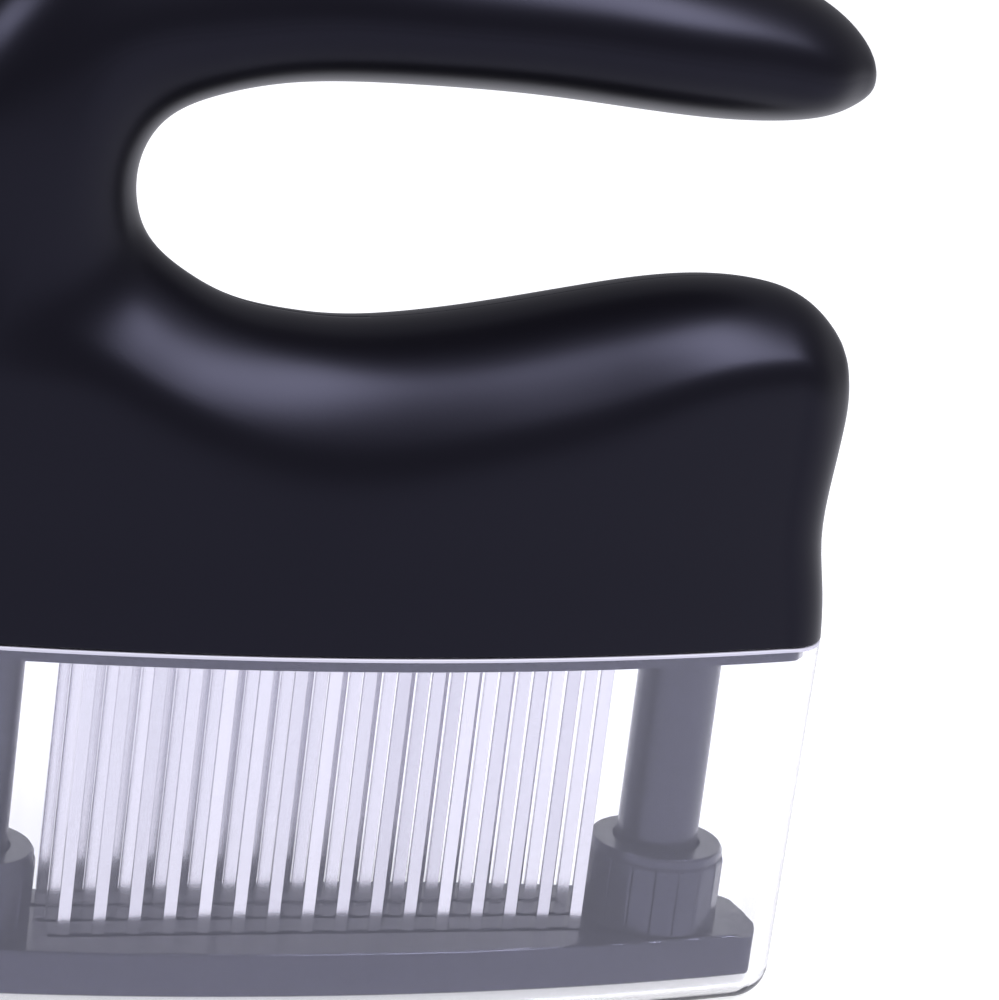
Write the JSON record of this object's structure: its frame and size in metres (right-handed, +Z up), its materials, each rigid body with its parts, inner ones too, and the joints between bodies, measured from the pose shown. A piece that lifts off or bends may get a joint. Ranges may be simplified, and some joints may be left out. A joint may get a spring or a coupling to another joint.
{
  "type": "meat tenderizer",
  "caption": "Hand-held spring-loaded needle tenderizer: C-shaped handle, rows of steel blades that pass through a sliding slotted foot, and a clear push-on blade cover.",
  "frame": {"origin": "centre of the blade cover's flat bottom face, on which the tool stands", "axes": "+X along the handle towards its open end, +Y from the front face to the back, +Z up"},
  "size_m": [0.141, 0.0382, 0.155],
  "materials": {
    "body_black": "satin moulded ABS, black with a cool cast",
    "foot_black": "semi-gloss moulded plastic, black",
    "inner_plastic": "moulded, unpolished",
    "bush_plastic": "natural acetal, satin",
    "blade_steel": "bright ground stainless steel",
    "spring_steel": "drawn spring wire",
    "screw_steel": "zinc plated",
    "clear_cover": "clear moulded plastic, slightly milky"
  },
  "bodies": {
    "body": {"handle_front_shell": "body_black", "handle_rear_shell": "body_black", "bottom_plate": "body_black", "shell_screws": "screw_steel", "bottom_plate_screws": "screw_steel", "clamp_screws": "screw_steel", "blade_bar_front": "inner_plastic", "blade_bar_middle": "inner_plastic", "blade_bar_rear": "inner_plastic", "blade_clamp_plate": "inner_plastic", "blades_front": "blade_steel", "blades_middle": "blade_steel", "blades_rear": "blade_steel", "guide_bush_left": "bush_plastic", "guide_bush_right": "bush_plastic", "return_spring_left": "spring_steel", "return_spring_right": "spring_steel"},
    "foot": {"base_plate": "foot_black", "collar_nut_left": "foot_black", "collar_nut_right": "foot_black", "guide_post_left": "foot_black", "guide_post_right": "foot_black", "stop_ring_left": "spring_steel", "stop_ring_right": "spring_steel", "foot_screws": "screw_steel"},
    "cover": {"blade_cover": "clear_cover"}
  },
  "joints": [
    {"name": "foot_slide", "type": "slide", "parent": "body", "child": "foot", "axis": [0, 0, 1], "range_m": [0, 0.03], "stiffness_N_per_m": 700, "springref_m": -0.008, "deforming": ["return_spring_left", "return_spring_right"]},
    {"name": "cover_pull", "type": "slide", "parent": "body", "child": "cover", "axis": [0, 0, -1], "range_m": [0, 0.06]}
  ]
}
